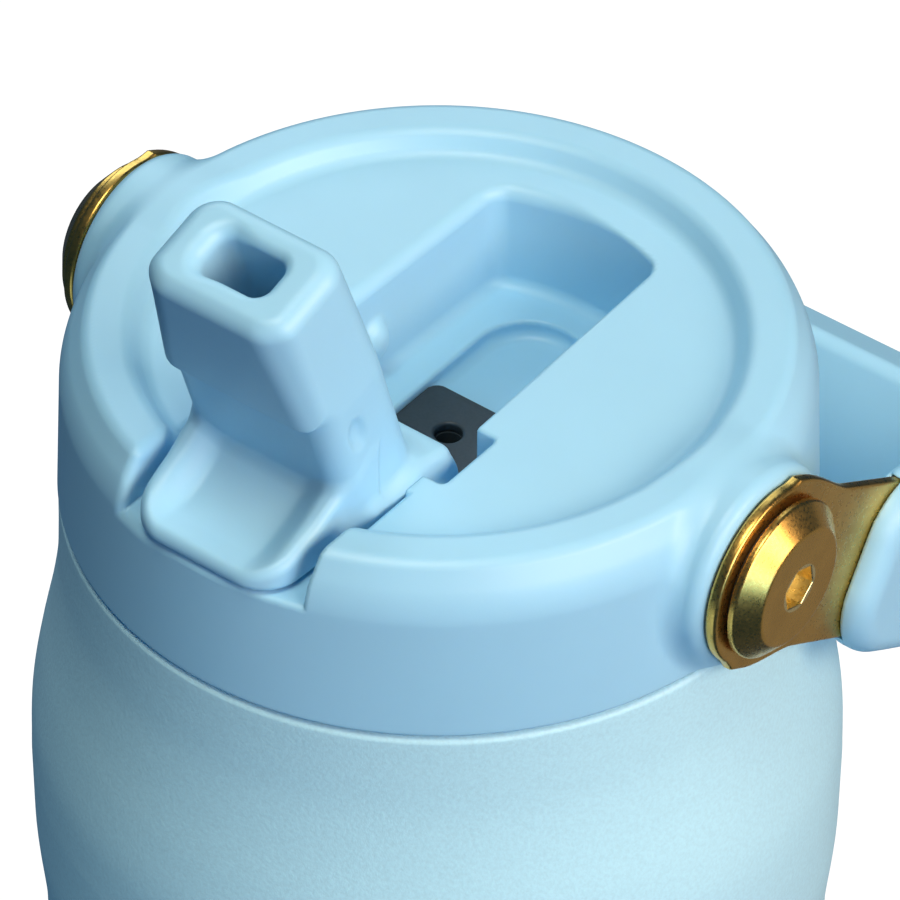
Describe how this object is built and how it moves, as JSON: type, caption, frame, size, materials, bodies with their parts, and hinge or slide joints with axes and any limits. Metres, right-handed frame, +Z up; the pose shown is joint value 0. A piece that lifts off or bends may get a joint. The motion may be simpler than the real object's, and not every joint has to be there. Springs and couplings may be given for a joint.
{
  "type": "insulated water jug",
  "caption": "Large double-walled steel water jug with a screw lid, a flip-up drinking spout with a thumb paddle, and a swinging bail handle on hex-socket pivots.",
  "frame": {"origin": "centre of the flat base, on the surface that the jug stands on", "axes": "+Z up along the flask, +X along the handle's pivot axis, -Y towards the drinker"},
  "size_m": [0.1344, 0.1545, 0.2871],
  "materials": {
    "coated_steel": "satin powder coat with a fine grain",
    "bare_steel": "satin",
    "lid_plastic": "soft satin moulding",
    "grip_plastic": "soft satin moulding",
    "inner_plastic": "smooth",
    "straw_plastic": "smooth",
    "foam": "matte",
    "pale_silicone": "matte",
    "dark_silicone": "matte",
    "dark_nylon": "matte",
    "brass": "satin with a slight grain"
  },
  "bodies": {
    "flask": {"outer_shell": "coated_steel", "inner_liner": "bare_steel", "base_cap": "coated_steel", "vacuum_tray": "bare_steel", "vacuum_seal": "bare_steel"},
    "seal_ring": {"lid_gasket": "pale_silicone"},
    "lid": {"lid_shell": "lid_plastic", "lid_liner": "inner_plastic", "lid_insulation": "foam", "straw_socket": "inner_plastic", "straw": "straw_plastic", "spout_seal": "pale_silicone", "vent_pad": "dark_silicone", "vent_tube": "dark_silicone", "vent_duckbill": "pale_silicone", "pivot_screws": "brass", "pivot_bushes": "dark_nylon", "pivot_washers": "dark_nylon", "screw_inserts": "brass", "spout_hinge_pins": "bare_steel"},
    "spout": {"flip_spout": "lid_plastic"},
    "handle": {"bail_strap": "brass", "handle_grip": "grip_plastic"}
  },
  "joints": [
    {"name": "lid_lift", "type": "slide", "parent": "flask", "child": "seal_ring", "axis": [0, 0, 1], "range_m": [0, 0.0076]},
    {"name": "lid_turn", "type": "hinge", "parent": "seal_ring", "child": "lid", "pos_m": [0, 0, 0.213], "axis": [0, 0, 1], "range_deg": [0, 675]},
    {"name": "spout_flip", "type": "hinge", "parent": "lid", "child": "spout", "pos_m": [0, -0.025, 0.231], "axis": [1, 0, 0], "range_deg": [-107, 0]},
    {"name": "handle_swing", "type": "hinge", "parent": "lid", "child": "handle", "pos_m": [0, 0, 0.2276], "axis": [1, 0, 0], "range_deg": [0, 242.4]}
  ],
  "couplings": [
    {"joint": "lid_lift", "follows": "lid_turn", "m_per_rad": 0.00063662}
  ]
}
